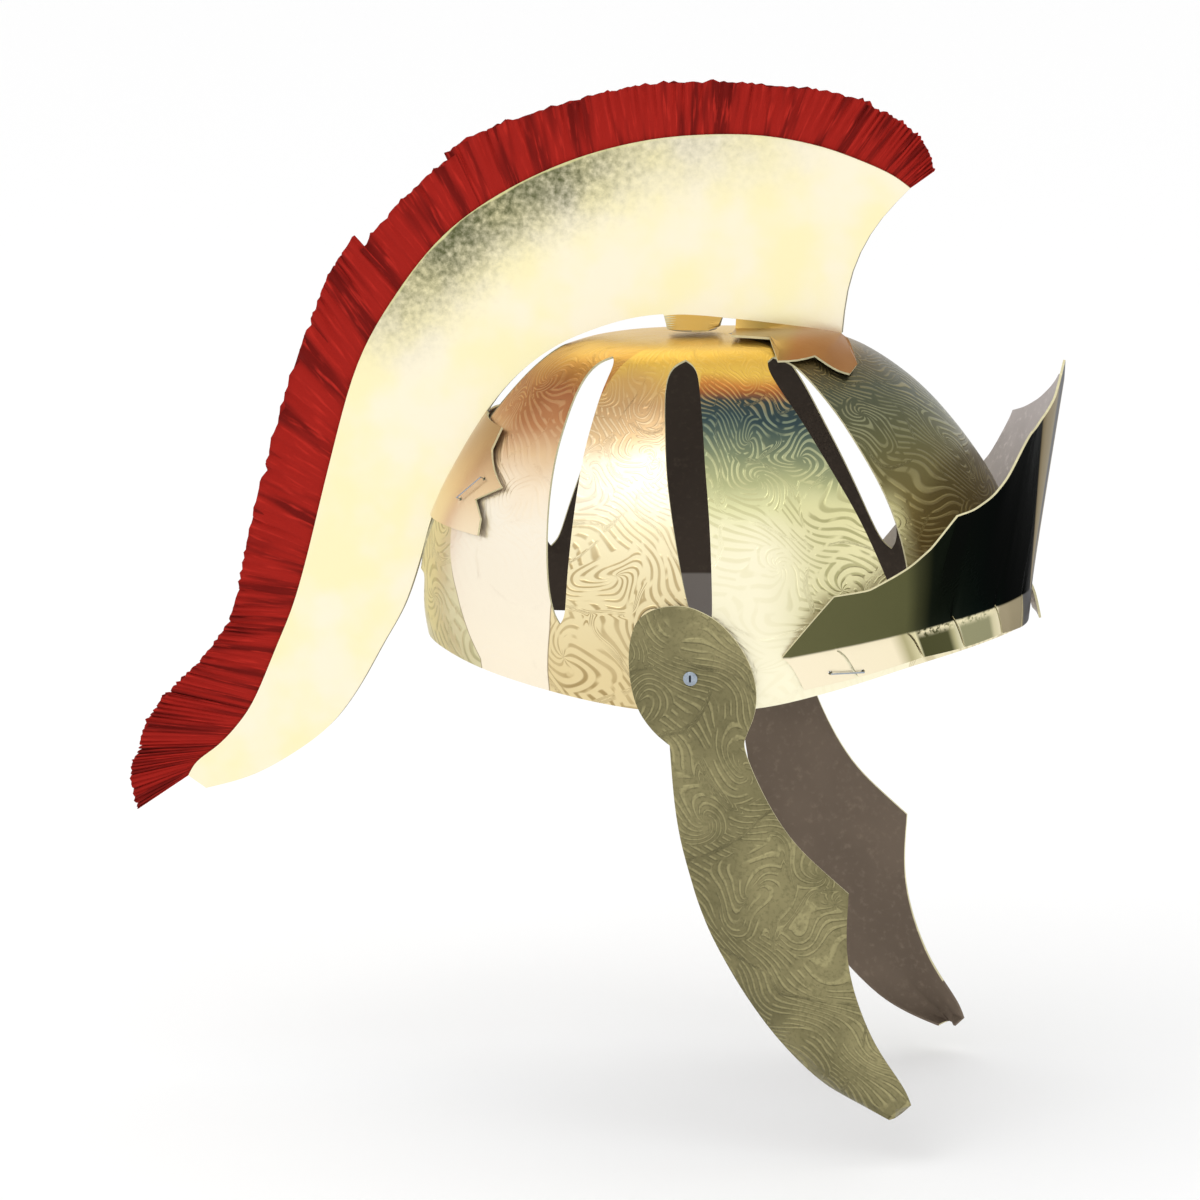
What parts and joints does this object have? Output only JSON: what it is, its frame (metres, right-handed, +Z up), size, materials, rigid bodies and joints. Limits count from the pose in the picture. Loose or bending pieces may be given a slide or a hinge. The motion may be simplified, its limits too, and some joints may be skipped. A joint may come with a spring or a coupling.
{
  "type": "costume roman helmet",
  "caption": "Costume Roman helmet of gold foil card with a red pleated paper crest, a raised visor and two hinged cheek guards.",
  "frame": {"origin": "middle of the head opening, at the height of the rim at the back, where a head holds the helmet", "axes": "+X to the wearer's front, +Y to the wearer's left, +Z up"},
  "size_m": [0.3253, 0.166, 0.3427],
  "materials": {
    "foil_swirl": "gold foil embossed with swirls, brown board inside",
    "foil_plain": "plain gold foil, grey board behind",
    "crepe_red": "matt crepe paper",
    "steel": "bright"
  },
  "bodies": {
    "helmet": {"crown": "foil_swirl", "visor": "foil_plain", "crest_plate_right": "foil_plain", "crest_plate_left": "foil_plain", "fringe": "crepe_red", "rivet_right": "steel", "rivet_left": "steel", "visor_staple_right": "steel", "visor_staple_left": "steel", "crest_staple_right": "steel", "crest_staple_left": "steel"},
    "guard_right": {"cheek_guard_right": "foil_swirl"},
    "guard_left": {"cheek_guard_left": "foil_swirl"}
  },
  "joints": [
    {"name": "guard_right_pivot", "type": "hinge", "parent": "helmet", "child": "guard_right", "pos_m": [0.00208, -0.08025, 0.002], "axis": [0, -0.9986, -0.0523], "continuous": true},
    {"name": "guard_left_pivot", "type": "hinge", "parent": "helmet", "child": "guard_left", "pos_m": [-0.00232, 0.07973, -0.00522], "axis": [0, -0.9997, 0.0262], "continuous": true}
  ]
}
